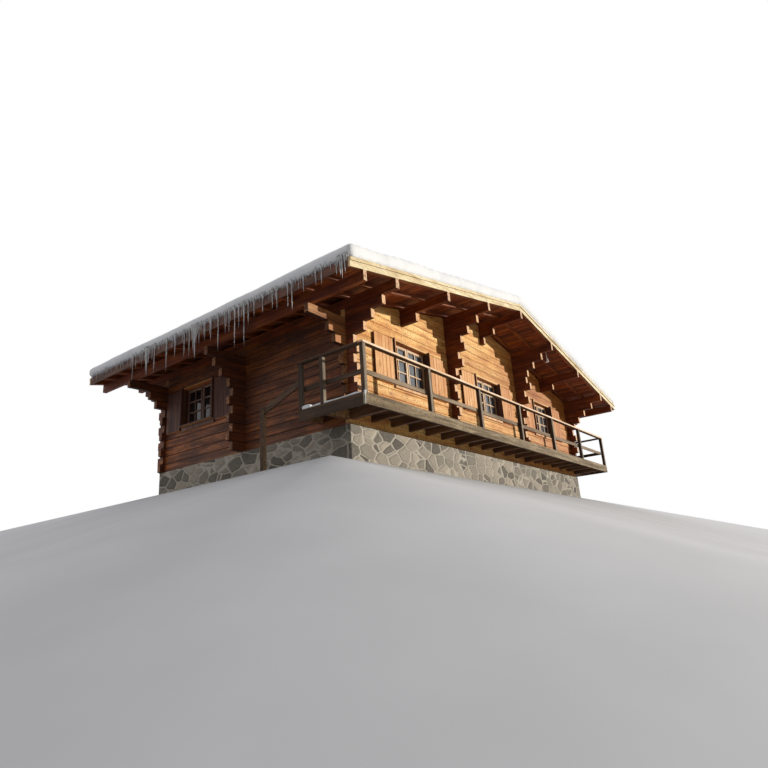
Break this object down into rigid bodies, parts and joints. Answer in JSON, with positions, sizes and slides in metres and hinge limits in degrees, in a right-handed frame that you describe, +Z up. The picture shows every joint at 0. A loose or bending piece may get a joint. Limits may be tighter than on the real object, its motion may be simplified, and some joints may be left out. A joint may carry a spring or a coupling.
{
  "type": "alpine chalet",
  "caption": "Log-built alpine chalet with a low snow-covered gable roof on stepped log corbels, a balcony across the gable front and open shutters",
  "frame": {"origin": "middle of the house in plan, at the bottom of the plinth", "axes": "+X to the right seen from in front of the balcony gable, the balcony gable faces -Y, +Z up"},
  "size_m": [14.8098, 9.01, 5.0812],
  "materials": {
    "masonry": "rough lime-mortared rubble plinth",
    "floor_wood": "oiled spruce floor boards",
    "gable_logs": "sun-warmed squared larch logs, clear stain",
    "shade_logs": "dark red-brown stained squared logs",
    "purlin_wood": "stained squared purlins",
    "soffit_wood": "dark stained rafters and boards",
    "shingles": "weathered larch shingles",
    "barge_wood": "pale sun-bleached barge boards",
    "eave_wood": "dark stained eave boards",
    "snow": null,
    "balcony_wood": "weathered grey-brown softwood",
    "frame_paint": "pale painted window frames",
    "window_glass": "clear window glass",
    "casing_wood": "planed larch casing boards",
    "shutter_wood": "honey stained plank shutters",
    "lamp_enamel": "white enamelled sheet steel"
  },
  "bodies": {
    "root": {"plinth_front": "masonry", "plinth_back": "masonry", "plinth_left": "masonry", "plinth_right": "masonry", "ground_floor": "floor_wood", "floor_beams": "floor_wood", "front_wall": "gable_logs", "back_wall": "shade_logs", "left_wall": "shade_logs", "right_wall": "shade_logs", "front_log_ends": "gable_logs", "back_log_ends": "shade_logs", "left_brackets": "shade_logs", "right_brackets": "shade_logs", "front_corbels": "gable_logs", "back_corbels": "shade_logs", "ridge_purlin": "purlin_wood", "left_purlins": "purlin_wood", "right_purlins": "purlin_wood", "rafters": "soffit_wood", "roof_boards": "soffit_wood", "roof_shingles": "shingles", "front_barge": "barge_wood", "back_barge": "barge_wood", "eave_boards": "eave_wood", "roof_snow": "snow", "balcony_beams": "balcony_wood", "balcony_joists": "balcony_wood", "front_deck": "balcony_wood", "side_decks": "balcony_wood", "front_edge_board": "balcony_wood", "side_edge_boards": "balcony_wood", "railing_posts": "balcony_wood", "front_cap_rail": "balcony_wood", "front_mid_rail": "balcony_wood", "side_rails": "balcony_wood", "ramp_handrail": "balcony_wood", "window_casings": "casing_wood", "window_frames": "frame_paint", "window_glass": "window_glass", "window_shutters": "shutter_wood", "back_door": "shutter_wood", "eave_lamp": "lamp_enamel"}
  },
  "joints": []
}
